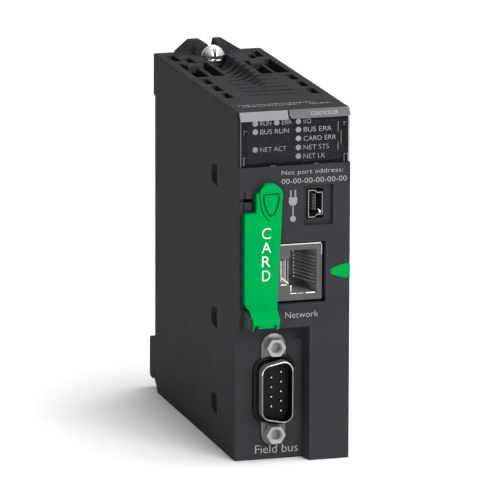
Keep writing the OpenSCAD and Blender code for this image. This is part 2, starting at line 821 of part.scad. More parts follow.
// Connectors between the upright boards and the rear board
module board_links() {
    color("#e6e2d6") seat() {
        block([io_x + board_t, 71, 36], [io_x + board_t + 4.6, rear_board_y, 60]);
        block([cpu_x - 4.6, 71, 36], [cpu_x, rear_board_y, 60]);
        block([cpu_x - 4, lamp_board_y + 1, 86], [cpu_x, lamp_board_y + 5, 92]);
    }
}

module processor() {
    color("#26282c") seat()
        block([cpu_x - 1.5, 42, 50], [cpu_x, 60, 68]);
}

module heat_sink() {
    color("#9a9da1") seat() {
        block([cpu_x - 3, 42, 50], [cpu_x - 1.5, 60, 68]);
        for (k = [0 : 5])
            block([cpu_x - 9, 42, 50.3 + 3.2 * k], [cpu_x - 3 + eps, 60, 51.4 + 3.2 * k]);
    }
}

module memory_chips() {
    color("#202226") seat()
        for (z = [16, 30, 74], y = [42, 56])
            block([cpu_x - 1.1, y, z], [cpu_x, y + 10, z + 8]);
}

module capacitors() {
    color("#3d4a66") seat()
        for (z = [10, 22, 34])
            rod_x(58, z, io_x + board_t, io_x + board_t + 10.5, 4);
}

module inductor() {
    color("#3a3a3a") seat() difference() {
        block([io_x + board_t, 40, 12], [io_x + board_t + 5, 50, 22]);
        rod_x(45, 17, io_x + board_t + 4, io_x + board_t + 6, 3.4);
    }
}

// Two rows of twenty sockets that push onto the rack's backplane
socket_pitch = 2;
socket_rows = [14.8, 17.2];

module backplane_connector() {
    color("#2b2b2e") seat() difference() {
        block([plug_x0, rear_board_y + board_t, plug_z0], [plug_x1, body_d + 1.8, plug_z1]);
        for (x = socket_rows, k = [0 : 19]) {
            z = (plug_z0 + plug_z1) / 2 + socket_pitch * (k - 9.5);
            block([x - 0.5, rear_board_y, z - 0.5], [x + 0.5, body_d + 3, z + 0.5]);
        }
    }
}

module backplane_contacts() {
    color("#d8b25a") seat()
        for (x = socket_rows, k = [0 : 19]) {
            z = (plug_z0 + plug_z1) / 2 + socket_pitch * (k - 9.5);
            block([x - 0.3, rear_board_y + board_t, z - 0.3], [x + 0.3, body_d, z + 0.3]);
        }
}

// ---------------------------------------------------------------- fixing screw

head_y = 80;           // front of the domed head
head_h = 2.3;
washer_t = 1;
thread_y = lip_y + 0.25;   // where the thread starts behind the neck

module screw_washer() {
    color("#e8e8e4") seat() difference() {
        rod_y(mid_x, screw_z, head_y + head_h, head_y + head_h + washer_t, 3.5);
        rod_y(mid_x, screw_z, head_y, head_y + head_h + washer_t + over, neck_r + 0.05);
    }
}

module captive_screw() {
    dome_r = 4.6;
    tip = 0.5;
    color("#d6d8da") seat() difference() {
        union() {
            translate([mid_x, head_y, screw_z]) rotate([-90, 0, 0]) rotate_extrude()
                intersection() {
                    square([head_r, head_h]);
                    translate([0, dome_r]) circle(dome_r, $fn = 96);
                }
            rod_y(mid_x, screw_z, head_y + head_h - eps, thread_y + eps, neck_r);
            rod_y(mid_x, screw_z, thread_y, hook_y - tip, screw_r);
            translate([mid_x, hook_y - tip - eps, screw_z]) rotate([-90, 0, 0])
                cylinder(r1 = screw_r, r2 = screw_r - tip, h = tip);
        }
        block([mid_x - 0.5, head_y - over, screw_z - 4], [mid_x + 0.5, head_y + 1.2, screw_z + 4]);
        block([mid_x - 2, head_y - over, screw_z - 0.5], [mid_x + 2, head_y + 1.5, screw_z + 0.5]);
    }
}

rear_housing();
front_bezel();
display_window();
display_mask();
label_tab();
light_pipes();
status_leds();
display_board();
card_door();
memory_card();
card_socket();
card_contacts();
usb_shell();
usb_tongue();
usb_contacts();
ethernet_shield();
ethernet_insert();
ethernet_contacts();
ethernet_marker();
ethernet_transformer();
serial_shell();
serial_insulator();
serial_pins();
jack_nuts();
cpu_board();
io_board();
rear_board();
board_spacers();
board_links();
processor();
heat_sink();
memory_chips();
capacitors();
inductor();
backplane_connector();
backplane_contacts();
screw_washer();
captive_screw();
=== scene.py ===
import json
import math
import random

import bmesh
import bpy
from mathutils import Matrix, Vector


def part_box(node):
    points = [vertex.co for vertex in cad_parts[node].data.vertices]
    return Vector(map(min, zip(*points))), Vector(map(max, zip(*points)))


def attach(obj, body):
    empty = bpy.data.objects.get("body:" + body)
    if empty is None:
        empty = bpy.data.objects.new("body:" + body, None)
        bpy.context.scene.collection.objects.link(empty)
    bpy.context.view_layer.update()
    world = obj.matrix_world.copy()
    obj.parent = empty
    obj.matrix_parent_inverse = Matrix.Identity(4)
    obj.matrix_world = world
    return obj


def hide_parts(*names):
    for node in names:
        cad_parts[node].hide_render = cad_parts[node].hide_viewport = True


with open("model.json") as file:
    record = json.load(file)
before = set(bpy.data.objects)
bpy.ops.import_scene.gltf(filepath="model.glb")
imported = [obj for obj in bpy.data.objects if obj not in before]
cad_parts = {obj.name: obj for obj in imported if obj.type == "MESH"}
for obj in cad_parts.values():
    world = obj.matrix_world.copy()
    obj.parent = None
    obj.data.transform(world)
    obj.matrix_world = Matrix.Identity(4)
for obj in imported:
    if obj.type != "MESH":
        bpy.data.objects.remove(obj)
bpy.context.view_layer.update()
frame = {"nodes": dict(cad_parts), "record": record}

MM = 0.001
SHARP = math.radians(32)

# Case coordinates run from the case's left side, front face and underside, in millimetres.
CORNER = Vector((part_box("rear_housing")[0].x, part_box("display_window")[0].y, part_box("rear_housing")[0].z))
TOP_Z = 100
SEAM_Y = 20         # where the front cap meets the rear housing
PANEL_Y = 1.3       # display panel, behind the clear cover
RECESS_Y = 4.5      # floor of the recess around the serial plug
DOOR_Y = -2.45      # front of the card door

# Prints: text, left and right in X, lower and upper in Z
LAMP_LABELS = [
    ("RUN", 6.3, 9.4, 96.05, 97.35), ("ERR", 12.6, 15.3, 96.05, 97.35), ("I/O", 18.8, 20.9, 95.95, 97.25),
    ("BUS RUN", 6.3, 14.5, 93.6, 94.9), ("NET ACT", 6.3, 13.8, 88.6, 89.9),
    ("BUS ERR", 18.8, 26.8, 93.65, 94.95), ("CARD ERR", 18.8, 28.1, 91.1, 92.4),
    ("NET STS", 18.8, 26.1, 88.6, 89.9), ("NET LK", 18.8, 25.0, 86.1, 87.4),
]
FRONT_LABELS = [
    ("Net port address:", 12.1, 29.8, 81.7, 83.3), ("00-00-00-00-00-00", 12.1, 30.9, 79.5, 80.9),
    ("Network", 13.3, 22.8, 41.3, 43.0),
]
FLOOR_LABEL = ("Field bus", 6.0, 18.4, 1.75, 4.15)
TAB_LABEL = ("CONTROLLER", 20.6, 28.4, 98.45, 99.4)
DOOR_LETTERS = [
    ("C", 5.75, 8.3, 64.8, 67.9), ("A", 5.7, 8.4, 60.85, 63.85),
    ("R", 5.8, 8.2, 56.9, 59.9), ("D", 5.85, 8.15, 52.9, 55.9),
]

# Painted highlights: thin grey strips on the clear cover where its moulded lines catch the light; left, lower,
# right, upper
COVER_HIGHLIGHT_LINES = [
    (0.22, 84.9, 0.4, 97.4), (1.15, 93.9, 1.3, 95.3), (1.15, 94.9, 2.1, 95.05), (1.1, 85.2, 1.3, 87.6),
    (1.1, 87.4, 1.9, 87.55), (28.25, 93.5, 28.45, 96.3), (28.25, 88.3, 28.45, 90.6),
    (29.1, 90.0, 29.3, 93.8), (29.6, 96.0, 30.7, 96.15), (30.0, 95.2, 30.15, 96.1),
    (30.0, 85.0, 30.15, 87.2), (30.0, 87.05, 31.2, 87.2), (31.1, 85.0, 31.25, 87.2),
    (31.45, 84.9, 31.62, 97.2), (8.8, 84.75, 10.3, 84.9), (21.4, 84.75, 22.7, 84.9),
]


# ------------------------------------------------------------ node helpers

class Nodes:
    """A new material's node tree, with short calls for adding and joining nodes."""

    def __init__(self, name):
        self.material = bpy.data.materials.new(name)
        self.material.use_nodes = True
        self.tree = self.material.node_tree
        self.shader = self.tree.nodes["Principled BSDF"]
        self.out = self.tree.nodes["Material Output"]
        self.place = self.add("ShaderNodeTexCoord").outputs["Object"]

    def add(self, kind, **values):
        node = self.tree.nodes.new(kind)
        for key, value in values.items():
            if key in node.inputs:
                node.inputs[key].default_value = value
            else:
                setattr(node, key, value)
        return node

    def join(self, source, target):
        self.tree.links.new(source, target)

    def noise(self, scale, detail=3.0, stretch=None):
        node = self.add("ShaderNodeTexNoise", Scale=scale, Detail=detail)
        source = self.place
        if stretch:
            mapping = self.add("ShaderNodeMapping", Scale=stretch)
            self.join(source, mapping.inputs["Vector"])
            source = mapping.outputs["Vector"]
        self.join(source, node.inputs["Vector"])
        return node.outputs["Fac"]

    def ramp(self, source, low, high, first, last):
        node = self.add("ShaderNodeValToRGB")
        ends = node.color_ramp.elements
        ends[0].position, ends[1].position = low, high
        ends[0].color, ends[1].color = first, last
        self.join(source, node.inputs["Fac"])
        return node.outputs["Color"]

    def spread(self, source, low, high):
        node = self.add("ShaderNodeMapRange")
        node.inputs["To Min"].default_value = low
        node.inputs["To Max"].default_value = high
        self.join(source, node.inputs["Value"])
        return node.outputs["Result"]

    def base_colour(self, noise, low, high, first, last):
        self.join(self.ramp(noise, low, high, first, last), self.shader.inputs["Base Color"])

    def roughness(self, noise, low, high):
        self.join(self.spread(noise, low, high), self.shader.inputs["Roughness"])

    def bump(self, height, strength, distance):
        node = self.add("ShaderNodeBump", Strength=strength, Distance=distance)
        self.join(height, node.inputs["Height"])
        self.join(node.outputs["Normal"], self.shader.inputs["Normal"])

    def set(self, **values):
        for key, value in values.items():
            self.shader.inputs[key.replace("_", " ")].default_value = value


def grey(value):
    return (value, value, value * 1.04, 1)


def tint(colour, factor):
    return tuple(c * factor for c in colour[:3]) + (1,)


# ------------------------------------------------------------ materials

def moulded(name, colour, rough=0.5, grain=0.35, specular=0.4):
    """Spark-eroded plastic: a fine pitted grain with faint cloudy changes of tone."""
    m = Nodes(name)
    m.base_colour(m.noise(90, 4), 0.35, 0.7, tint(colour, 0.93), tint(colour, 1.07))
    m.roughness(m.noise(260, 5), rough - 0.06, rough + 0.08)
    m.set(Specular_IOR_Level=specular)
    m.bump(m.noise(5200, 4), grain, 0.00004)
    return m.material


def plated(name, colour, rough=0.22, drawn=(1, 1, 1)):
    """Plated or tinned sheet with fine drawing lines and uneven polish."""
    m = Nodes(name)
    m.base_colour(m.noise(500, 4), 0.3, 0.7, tint(colour, 0.9), tint(colour, 1.05))
    m.roughness(m.noise(900, 3, drawn), rough - 0.06, rough + 0.1)
    m.set(Metallic=1.0)
    m.bump(m.noise(2600, 2, drawn), 0.12, 0.00002)
    return m.material


def smoked(name):
    """Lightly smoked clear plastic: mostly see-through, with a haze that grows at low angles."""
    m = Nodes(name)
    through = m.add("ShaderNodeBsdfTransparent", Color=(0.82, 0.82, 0.84, 1))
    blend = m.add("ShaderNodeMixShader")
    m.join(m.spread(m.add("ShaderNodeFresnel", IOR=1.5).outputs["Fac"], 0.01, 0.2), blend.inputs["Fac"])
    m.roughness(m.noise(300, 3), 0.5, 0.48)
    m.set(Base_Color=(0.05, 0.05, 0.055, 1), Specular_IOR_Level=0.1)
    m.join(through.outputs["BSDF"], blend.inputs[1])
    m.join(m.shader.outputs["BSDF"], blend.inputs[2])
    m.join(blend.outputs["Shader"], m.out.inputs["Surface"])
    return m.material


def painted_highlight(name, value):
    """Painted highlight on the cover's moulded bevel and ribs: a plain grey where the clear plastic catches the
    light.
    """
    m = Nodes(name)
    m.base_colour(m.noise(240, 3), 0.3, 0.7, grey(value * 0.92), grey(value * 1.08))
    m.roughness(m.noise(700, 3), 0.25, 0.4)
    return m.material


def printed(name, colour):
    """Screen-printed ink with slight unevenness."""
    m = Nodes(name)
    m.base_colour(m.noise(2500, 3), 0.3, 0.65, tint(colour, 0.82), tint(colour, 1.0))
    m.roughness(m.noise(1200, 2), 0.45, 0.65)
    return m.material


def satin(name, colour):
    """Zinc-plated steel with a soft, nearly even sheen."""
    m = Nodes(name)
    m.base_colour(m.noise(600, 4), 0.3, 0.7, tint(colour, 0.94), tint(colour, 1.04))
    m.roughness(m.noise(900, 3), 0.42, 0.55)
    m.set(Metallic=0.35)
    return m.material


def circuit(name):
    """Solder-masked board with a faint pattern of tracks under the mask."""
    m = Nodes(name)
    tracks = m.add("ShaderNodeTexBrick", Scale=260.0, **{"Mortar Size": 0.06})
    m.join(m.place, tracks.inputs["Vector"])
    for socket, colour in (("Color1", (0.004, 0.030, 0.014, 1)), ("Color2", (0.005, 0.036, 0.016, 1)),
                           ("Mortar", (0.012, 0.07, 0.03, 1))):
        tracks.inputs[socket].default_value = colour
    m.join(tracks.outputs["Color"], m.shader.inputs["Base Color"])
    m.roughness(m.noise(800, 3), 0.28, 0.42)
    m.bump(tracks.outputs["Fac"], 0.2, 0.00003)
    return m.material


# One look for each material slot of the record
SLOT_LOOKS = {
    "case_plastic": (moulded, (0.0245, 0.0243, 0.0275), 0.68, 0.3, 0.06),
    "clear_cover": (smoked,),
    "black_panel": (moulded, (0.03, 0.03, 0.0295), 0.7, 0.0, 0.05),
    # Painted light: the tab is the case's plastic, made lighter for the light that its slanted face catches
    "label_plastic": (moulded, (0.075, 0.075, 0.079), 0.5, 0.15, 0.25),
    "light_dot": (printed, (0.56, 0.56, 0.56)),
    "led_body": (printed, (0.75, 0.72, 0.55)),
    "board": (circuit,),
    "green_plastic": (moulded, (0.0, 0.232, 0.048), 0.6, 0.12, 0.0),
    "card_plastic": (moulded, (0.012, 0.014, 0.018), 0.45, 0.2),
    "plated_sheet": (plated, (0.30, 0.30, 0.305), 0.3),
    "tinned_sheet": (plated, (0.085, 0.085, 0.087), 0.42, (1, 1, 4)),
    "gold_contact": (plated, (0.86, 0.66, 0.32), 0.22),
    "black_moulding": (moulded, (0.006, 0.006, 0.0065), 0.5, 0.15, 0.1),
    "component_black": (moulded, (0.014, 0.014, 0.015), 0.5, 0.25),
    "nut_steel": (satin, (0.27, 0.27, 0.27)),
    "spacer_brass": (plated, (0.72, 0.52, 0.24), 0.3),
    "link_plastic": (moulded, (0.62, 0.59, 0.5), 0.45, 0.1),
    "heat_sink_metal": (plated, (0.58, 0.6, 0.62), 0.32, (1, 6, 1)),
    "capacitor_can": (plated, (0.16, 0.22, 0.36), 0.3, (8, 1, 1)),
    "washer_nylon": (moulded, (0.66, 0.66, 0.62), 0.4, 0.08),
    "screw_steel": (plated, (0.76, 0.77, 0.78), 0.18),
}

# Looks of single surfaces and prints within those slots
DETAIL_LOOKS = {
    "print_ink": (printed, (0.29, 0.29, 0.295)),
    "mark_ink": (printed, (0.19, 0.19, 0.195)),
    "faint_ink": (printed, (0.3, 0.3, 0.31)),
    "panel_ink": (printed, (0.75, 0.75, 0.75)),
    "white_ink": (printed, (0.62, 0.64, 0.62)),
    "tab_ink": (printed, (0.3, 0.3, 0.305)),
    # Painted highlight on the top of the serial plug's rim
    "bright_rim": (plated, (0.5, 0.5, 0.505), 0.25),
    "soft_rim": (plated, (0.2, 0.2, 0.202), 0.35),
    "dull_flange": (plated, (0.12, 0.12, 0.122), 0.3),
    # Painted shade in the serial plug's root and inside its sleeve
    "dark_root": (plated, (0.013, 0.013, 0.0135), 0.5),
    # Painted sheen on the outer side of the serial plug's sleeve, in place of its reflection
    "shell_side": (satin, (0.13, 0.13, 0.13)),
    # Painted highlights on the network socket's edges and floor lips
    "edge_shine": (satin, (0.7, 0.7, 0.7)),
    "mid_tin": (plated, (0.36, 0.36, 0.365), 0.3),
    "wire_tin": (plated, (0.8, 0.8, 0.8), 0.3),
    # Painted shade on the serial pins, and painted highlights on their tips and on the network wires' ends
    "pin_shaft": (moulded, (0.009, 0.009, 0.009), 0.5, 0.0, 0.15),
    "pin_tip": (printed, (0.75, 0.75, 0.73)),
    # Painted shade on the USB contacts and on the bars across its tongue
    "usb_dark": (moulded, (0.004, 0.004, 0.004), 0.5, 0.0, 0.1),
    "usb_grey": (moulded, (0.08, 0.08, 0.081), 0.5, 0.1, 0.2),
    "socket_grey": (moulded, (0.2, 0.2, 0.2), 0.45, 0.1, 0.4),
    # Painted shade on the door's left-facing faces and in its engraved lines
    "green_shade": (moulded, (0.0, 0.11, 0.025), 0.6, 0.12, 0.0),
    # Painted highlights on the clear cover's moulded lines
    "cover_rib": (painted_highlight, 0.10),
    # Painted reflection on the clear cover's top bevel
    "cover_bevel": (painted_highlight, 0.1),
}


def make_materials(looks):
    return {name: look(name, *values) for name, (look, *values) in looks.items()}


# ------------------------------------------------------------ mesh helpers

def at(x, y, z):
    return CORNER + Vector((x, y, z)) * MM


def slot_of(node):
    """The material slot of a CAD node."""
    return SLOTS[node]


def piece(name, mesh, body, slot, nodes=(), materials=None):
    """A finished object: linked, painted, riding on its body, and standing for its CAD nodes."""
    obj = bpy.data.objects.new(name, mesh)
    bpy.context.scene.collection.objects.link(obj)
    for m in materials or [MATERIALS[slot]]:
        obj.data.materials.append(m)
    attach(obj, body)
    if nodes:
        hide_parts(*nodes)
    return obj


def smooth(mesh, angle=SHARP):
    mesh.polygons.foreach_set("use_smooth", [True] * len(mesh.polygons))
    mesh.set_sharp_from_angle(angle=angle)
    mesh.update()
    return mesh


def mesh_of(name, points, faces):
    """A mesh from points in case coordinates, with its faces turned outward."""
    mesh = bpy.data.meshes.new(name)
    mesh.from_pydata([at(*p) for p in points], [], faces)
    bm = bmesh.new()
    bm.from_mesh(mesh)
    bmesh.ops.recalc_face_normals(bm, faces=bm.faces)
    bm.to_mesh(mesh)
    bm.free()
    return mesh


def cad_copy(node):
    """A bmesh of a CAD node with its triangles merged back into flat faces."""
    bm = bmesh.new()
    bm.from_mesh(frame["nodes"][node].data)
    bmesh.ops.remove_doubles(bm, verts=bm.verts, dist=2e-6)
    bmesh.ops.dissolve_limit(bm, angle_limit=math.radians(0.6), verts=bm.verts, edges=bm.edges,
                             use_dissolve_boundaries=False)
    return bm


def soften(bm, width, segments=2, shortest=0.0):
    """Rounds the sharp outer edges that are long enough to take it, and keeps within the old box."""
    low, high = limits(bm)
    sharp = {e for e in bm.edges if len(e.link_faces) == 2 and e.calc_face_angle(0) > SHARP}
    short = {e for e in sharp if e.calc_length() < shortest * MM}
    edges = [e for e in sharp - short if e.is_convex and not on_seam(e)
             and not any(other in short for v in e.verts for other in v.link_edges)]
    bmesh.ops.bevel(bm, geom=edges, offset=width * MM, offset_type="OFFSET", segments=segments,
                    profile=0.5, affect="EDGES", clamp_overlap=False, loop_slide=True)
    for v in bm.verts:
        v.co = Vector(min(max(c, a), b) for c, a, b in zip(v.co, low, high))


def limits(bm):
    low = Vector(min(v.co[i] for v in bm.verts) for i in range(3))
    return low, Vector(max(v.co[i] for v in bm.verts) for i in range(3))


def on_seam(edge):
    """True for the edges where the front cap meets the rear housing."""
    return all(abs(v.co.y - at(0, SEAM_Y, 0).y) < 0.01 * MM for v in edge.verts)


def finished(name, bm):
    mesh = bpy.data.meshes.new(name)
    bm.to_mesh(mesh)
    bm.free()
    return smooth(mesh)


def weighted(obj):
    """Keeps the flat faces flat beside their rounded edges."""
    modifier = obj.modifiers.new("flat_faces", "WEIGHTED_NORMAL")
    modifier.keep_sharp = True
    return obj


def softened_node(node, width, segments=2, shortest=0.0, paint=None):
    """A CAD node again, with rounded edges."""
    name = node + "_moulded"
    bm = cad_copy(node)
    soften(bm, width, segments, shortest)
    materials = [MATERIALS[paint]] if paint else None
    return weighted(piece(name, finished(name, bm), BODY_OF[node], slot_of(node), [node], materials))


def repainted_node(node, paint):
    """A CAD node again, with a material of its own."""
    name = node + "_moulded"
    mesh = finished(name, cad_copy(node))
    return piece(name, mesh, BODY_OF[node], slot_of(node), [node], [MATERIALS[paint]])


def tube(rings, close_first=False, close_last=False):
    """Points and faces that join rings of equal length, one after the other."""
    n = len(rings[0])
    points = [p for ring in rings for p in ring]
    faces = [(k * n + i, k * n + (i + 1) % n, (k + 1) * n + (i + 1) % n, (k + 1) * n + i)
             for k in range(len(rings) - 1) for i in range(n)]
    if close_first:
        faces.append(tuple(range(n)))
    if close_last:
        faces.append(tuple(range((len(rings) - 1) * n, len(rings) * n)))
    return points, faces


def merged(parts):
    """Several (points, faces) as one."""
    points, faces = [], []
    for p, f in parts:
        start = len(points)
        points += p
        faces += [tuple(i + start for i in face) for face in f]
    return points, faces


def detail(name, parts, slot, paint, body="case", nodes=()):
    """A piece joined from several (points, faces), with a material of its own."""
    mesh = smooth(mesh_of(name, *merged(parts)))
    return piece(name, mesh, body, slot, nodes, [MATERIALS[paint]])


def circle(x, z, y, r, n=48):
    turns = [2 * math.pi * k / n for k in range(n)]
    return [(x + r * math.cos(t), y, z + r * math.sin(t)) for t in turns]


# ------------------------------------------------------------ lettering

def letters(text, x0, x1, z0, z1, y, proud=0.03, bold=0.0):
    """Flat letters facing forward that fill a box on the front."""
    curve = bpy.data.curves.new("letters", "FONT")
    curve.body = text
    curve.extrude = 0.5
    curve.offset = bold
    curve.resolution_u = 5
    holder = bpy.data.objects.new("letters", curve)
    bpy.context.scene.collection.objects.link(holder)
    shape = bpy.data.meshes.new_from_object(holder.evaluated_get(bpy.context.evaluated_depsgraph_get()))
    bpy.data.objects.remove(holder)
    bpy.data.curves.remove(curve)
    co = [v.co.copy() for v in shape.vertices]
    xs, ys = [c.x for c in co], [c.y for c in co]
    wide, high = max(xs) - min(xs), max(ys) - min(ys)
    points = [(x0 + (c.x - min(xs)) / wide * (x1 - x0),
               y - proud if c.z > 0 else y + 0.02,
               z0 + (c.y - min(ys)) / high * (z1 - z0)) for c in co]
    faces = [tuple(p.vertices) for p in shape.polygons]
    bpy.data.meshes.remove(shape)
    return points, faces


def tilted(part):
    """Leans a front print back onto the slanted face of the name tab."""
    low_y, low_z, slope = -0.3, 97.75, 1.25 / 2.25    # lower edge of the tab's face, and its lean
    return [(x, y + low_y + (z - low_z) * slope, z) for x, y, z in part[0]], part[1]


def plate(outline, y, proud=0.03, deep=0.02):
    """A flat shape on the front, from an outline in X and Z."""
    n = len(outline)
    points = [(x, y - proud, z) for x, z in outline] + [(x, y + deep, z) for x, z in outline]
    faces = [tuple(range(n)), tuple(range(2 * n - 1, n - 1, -1))]
    faces += [(i, (i + 1) % n, n + (i + 1) % n, n + i) for i in range(n)]
    return points, faces


def disc(x, z, r, y, n=28):
    return plate([(px, pz) for px, _, pz in circle(x, z, y, r, n)], y)


def bar(x0, z0, x1, z1, y):
    return plate([(x0, z0), (x1, z0), (x1, z1), (x0, z1)], y)


def plug_mark():
    """A plain pictogram of a plug on a lead."""
    x, foot, neck, top = 15.4, 70.2, 73.3, 75.6
    body = [(x - 1.2, 74.0), (x - 0.6, neck), (x + 0.6, neck),
            (x + 1.2, 74.0), (x + 1.2, top), (x - 1.2, top)]
    lead = bar(x - 0.17, foot, x + 0.17, neck + 0.1, 0)
    prongs = [bar(x + s * 0.65 - 0.2, top, x + s * 0.65 + 0.2, 77.7, 0) for s in (-1, 1)]
    return [lead, disc(x, 69.5, 0.85, 0), plate(body, 0)] + prongs


def dash(x, y, wide, long):
    """One thin print mark lying on the top."""
    corners = [(x, y), (x + wide, y), (x + wide, y + long), (x, y + long)]
    points = [(a, b, TOP_Z + side * 0.02) for side in (-1, 1) for a, b in corners]
    sides = [(k, (k + 1) % 4, 4 + (k + 1) % 4, 4 + k) for k in range(4)]
    return points, [(0, 1, 2, 3), (4, 5, 6, 7)] + sides


def top_print():
    """Two rows of tiny dashes near the front of the top."""
    rng = random.Random(7)
    parts = []
    for y, x, end in ((10.2, 2.6, 24.8), (8.2, 3.2, 19.5), (8.0, 22.5, 28.6)):
        while x < end:
            wide = rng.uniform(0.25, 0.75)
            long = rng.uniform(0.35, 0.75)
            parts.append(dash(x, y, wide, long))
            x += wide + rng.uniform(0.18, 0.5)
    return parts


def make_prints():
    """The prints on the panel, the front, the tab, the top and the door; bold below 0 thins the letters."""
    lamps = [letters(*label, PANEL_Y, 0.02, -0.014) for label in LAMP_LABELS]
    front = [letters(*label, 0, bold=-0.012) for label in FRONT_LABELS]
    front.append(letters(*FLOOR_LABEL, RECESS_Y, bold=-0.012))
    tab = tilted(letters(*TAB_LABEL, 0, bold=-0.01))
    door = [letters(*label, DOOR_Y, 0.04, -0.006) for label in DOOR_LETTERS]
    detail("panel_labels", lamps, "black_panel", "panel_ink")
    detail("front_print", front, "case_plastic", "print_ink")
    detail("plug_mark", plug_mark(), "case_plastic", "mark_ink")
    detail("tab_print", [tab], "label_plastic", "tab_ink")
    detail("top_print", top_print(), "case_plastic", "faint_ink")
    detail("door_letters", door, "green_plastic", "white_ink", "door")


# ------------------------------------------------------------ serial plug

SERIAL = (11.2, 20.08)      # middle of the plug in X and Z
JACK_PITCH = 24.99          # between the two nuts
FLANGE_Y = 4.2
SHELL_FRONT = -0.1
PIN_STEP, PIN_PITCH = 2.84, 2.77
PIN_R, PIN_TIP_Y, PIN_DOME = 0.22, 1.2, 0.6
PIN_ROOT_R, PIN_ROOT_Y, PIN_BACK_Y = 0.5, 3.97, 17.6
PIN_BOARD_X, PIN_TAIL_Y = 2.7, 17.4
# Paints of the serial shell: the rim's highlight, the root's shade and the side's sheen are painted light and
# shade
SHELL_PAINTS = ["bright_rim", "dull_flange", "dark_root", "soft_rim", "shell_side"]


def d_ring(grow, y, per_arc=14):
    """The D outline at one depth: the long side faces right."""
    w, h, r = 4.2 + grow, 8.4 + grow, 2.4 + 0.8 * grow
    slant = 0.75
    turn = math.atan2(2 * (w - r), -slant)
    whole = 2 * math.pi
    arcs = [(w - r, h - r, 0, turn), (r - w, h - slant - r, turn, math.pi),
            (r - w, slant + r - h, math.pi, whole - turn), (w - r, r - h, whole - turn, whole)]
    return [(SERIAL[0] + cx + r * math.cos(a + (b - a) * k / per_arc), y,
             SERIAL[1] + cz + r * math.sin(a + (b - a) * k / per_arc))
            for cx, cz, a, b in arcs for k in range(per_arc + 1)]


def stadium(inset, y, n=20):
    """The flange outline, round at both nuts."""
    r = 3.6 - inset
    ring = []
    for side, start in ((1, 0), (-1, 1)):
        z = SERIAL[1] + side * JACK_PITCH / 2
        turns = [math.pi * (k / n + start) for k in range(n + 1)]
        ring += [(SERIAL[0] + r * math.cos(t), y, z + r * math.sin(t)) for t in turns]
    return ring


def make_serial_shell():
    """A drawn D sleeve with a rolled rim and a flared root, on an oval flange."""
    lip, wall, root, edge = 0.2, 0.42, 1.33, 0.12
    highlight_above = SERIAL[1] + 5.4
    rim_y, root_y = SHELL_FRONT + lip, FLANGE_Y - root
    rings = [d_ring(0, y) for y in (4.4, 0.5, rim_y)]
    first_rim = len(rings) - 1
    rings += [d_ring(lip - lip * math.cos(a), rim_y - lip * math.sin(a))
              for a in (math.radians(30 * k) for k in range(1, 6))]
    first_side = len(rings)
    rings += [d_ring(wall, rim_y), d_ring(wall, root_y)]
    rings += [d_ring(wall + root - root * math.cos(a), root_y + root * math.sin(a))
              for a in (math.radians(15 * k) for k in range(1, 7))]
    rings.append(d_ring(wall + root, RECESS_Y))
    flange = [stadium(0, RECESS_Y), stadium(0, FLANGE_Y + edge), stadium(edge * 0.3, FLANGE_Y + 0.06),
              stadium(edge, FLANGE_Y + 0.02)]
    mesh = smooth(mesh_of("serial_shell_drawn", *merged([tube(rings), tube(flange, close_last=True)])))
    # Painted light and shade: painted shade inside the sleeve and in its root, a painted sheen on the outer
    # side, a painted highlight on the top of the rim
    for f in mesh.polygons:
        strip = f.index // len(rings[0])
        if strip >= len(rings) - 1:
            paint = "dull_flange"
        elif strip < first_rim or f.center.y > at(0, root_y, 0).y:
            paint = "dark_root"
        elif strip >= first_side:
            paint = "shell_side"
        elif f.center.z > at(0, 0, highlight_above).z:
            paint = "bright_rim"
        else:
            paint = "soft_rim"
        f.material_index = SHELL_PAINTS.index(paint)
    piece("serial_shell_drawn", mesh, "case", "plated_sheet", ["serial_shell"],
          [MATERIALS[paint] for paint in SHELL_PAINTS])


def make_serial_pins():
    """Slim pins in black, a painted shade, with round tips in white, a painted highlight, and flat tails that
    lead to the board.
    """
    rows = [(SERIAL[0] + PIN_STEP / 2, SERIAL[1] + k * PIN_PITCH) for k in range(-2, 3)]
    rows += [(SERIAL[0] - PIN_STEP / 2, SERIAL[1] + (k - 1.5) * PIN_PITCH) for k in range(4)]
    dome_y = PIN_TIP_Y + PIN_DOME
    profile = [(PIN_BACK_Y, PIN_ROOT_R), (PIN_ROOT_Y + 0.01, PIN_ROOT_R),
               (PIN_ROOT_Y, PIN_R), (dome_y, PIN_R)]
    shafts, tips = [], []
    for x, z in rows:
        tail = [(PIN_BOARD_X, z - 0.2), (x, z - 0.2), (x, z + 0.2), (PIN_BOARD_X, z + 0.2)]
        shafts.append(tube([circle(x, z, y, r, 16) for y, r in profile], True, True))
        shafts.append(plate(tail, PIN_TAIL_Y, 0.2))
        dome = [circle(x, z, dome_y - PIN_DOME * math.sin(a), PIN_R * math.cos(a), 16)
                for a in (math.radians(15 * k) for k in range(6))]
        tips.append(tube(dome, True, True))
    mesh = smooth(mesh_of("serial_pins_drawn", *merged(shafts + tips)))
    # Painted highlight on the round tips; painted shade on the rest of each pin
    for f in mesh.polygons:
        f.material_index = 1 if f.center.y < at(0, dome_y, 0).y else 0
    piece("serial_pins_drawn", mesh, "case", "gold_contact", ["serial_pins"],
          [MATERIALS["pin_shaft"], MATERIALS["pin_tip"]])


